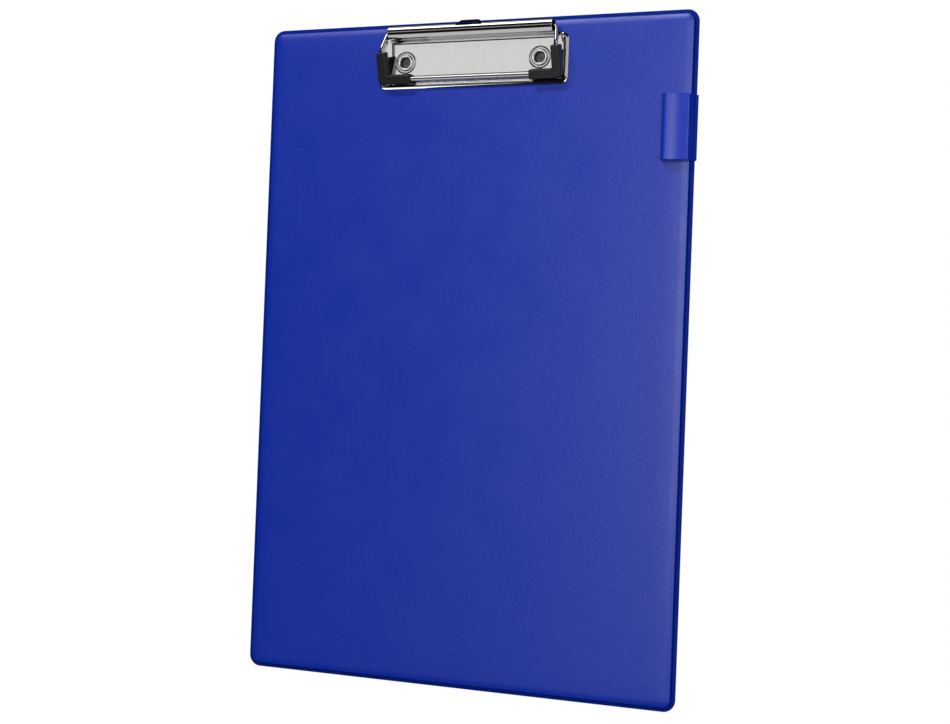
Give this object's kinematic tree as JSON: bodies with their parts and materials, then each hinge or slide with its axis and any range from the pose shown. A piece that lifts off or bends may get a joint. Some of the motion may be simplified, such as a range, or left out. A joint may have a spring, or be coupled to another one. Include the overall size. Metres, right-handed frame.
{
  "type": "clipboard",
  "caption": "PVC-covered A4 clipboard with a spring wire-bail clip, rubber grip sleeves and a pen loop on its right edge.",
  "frame": {"origin": "middle of the board, on its back face", "axes": "+X to the right of the writing face, +Y towards the clip, +Z out of the writing face; the clipboard lies on its back"},
  "size_m": [0.234, 0.34, 0.0137],
  "materials": {
    "greyboard": "uncoated greyboard",
    "pvc_front": "royal blue PVC film, semi-gloss, fine grain",
    "pvc_back": "royal blue PVC film, semi-gloss, fine grain",
    "pvc_loop": "royal blue PVC strip, semi-gloss",
    "plate_chrome": "bright chrome plating on pressed steel",
    "hinge_chrome": "bright chrome plating on rolled steel",
    "rivet_chrome": "bright chrome plating on a drawn steel rivet",
    "wire_chrome": "bright chrome plating on steel wire",
    "sleeve_rubber": "moulded black rubber, matt",
    "spring_black": "black oxide spring wire"
  },
  "bodies": {
    "board": {"core_board": "greyboard", "front_cover": "pvc_front", "back_cover": "pvc_back", "pen_loop": "pvc_loop", "base_plate": "plate_chrome", "hinge_plate": "hinge_chrome", "rivet_left": "rivet_chrome", "rivet_right": "rivet_chrome", "torsion_spring": "spring_black"},
    "bail": {"bail": "wire_chrome", "grip_sleeve_left": "sleeve_rubber", "grip_sleeve_right": "sleeve_rubber"}
  },
  "joints": [
    {"name": "bail_hinge", "type": "hinge", "parent": "board", "child": "bail", "pos_m": [0, 0.1637, 0.0078], "axis": [-1, 0, 0], "range_deg": [0, 75], "stiffness_Nm_per_rad": 0.3, "springref_deg": -57.3}
  ]
}
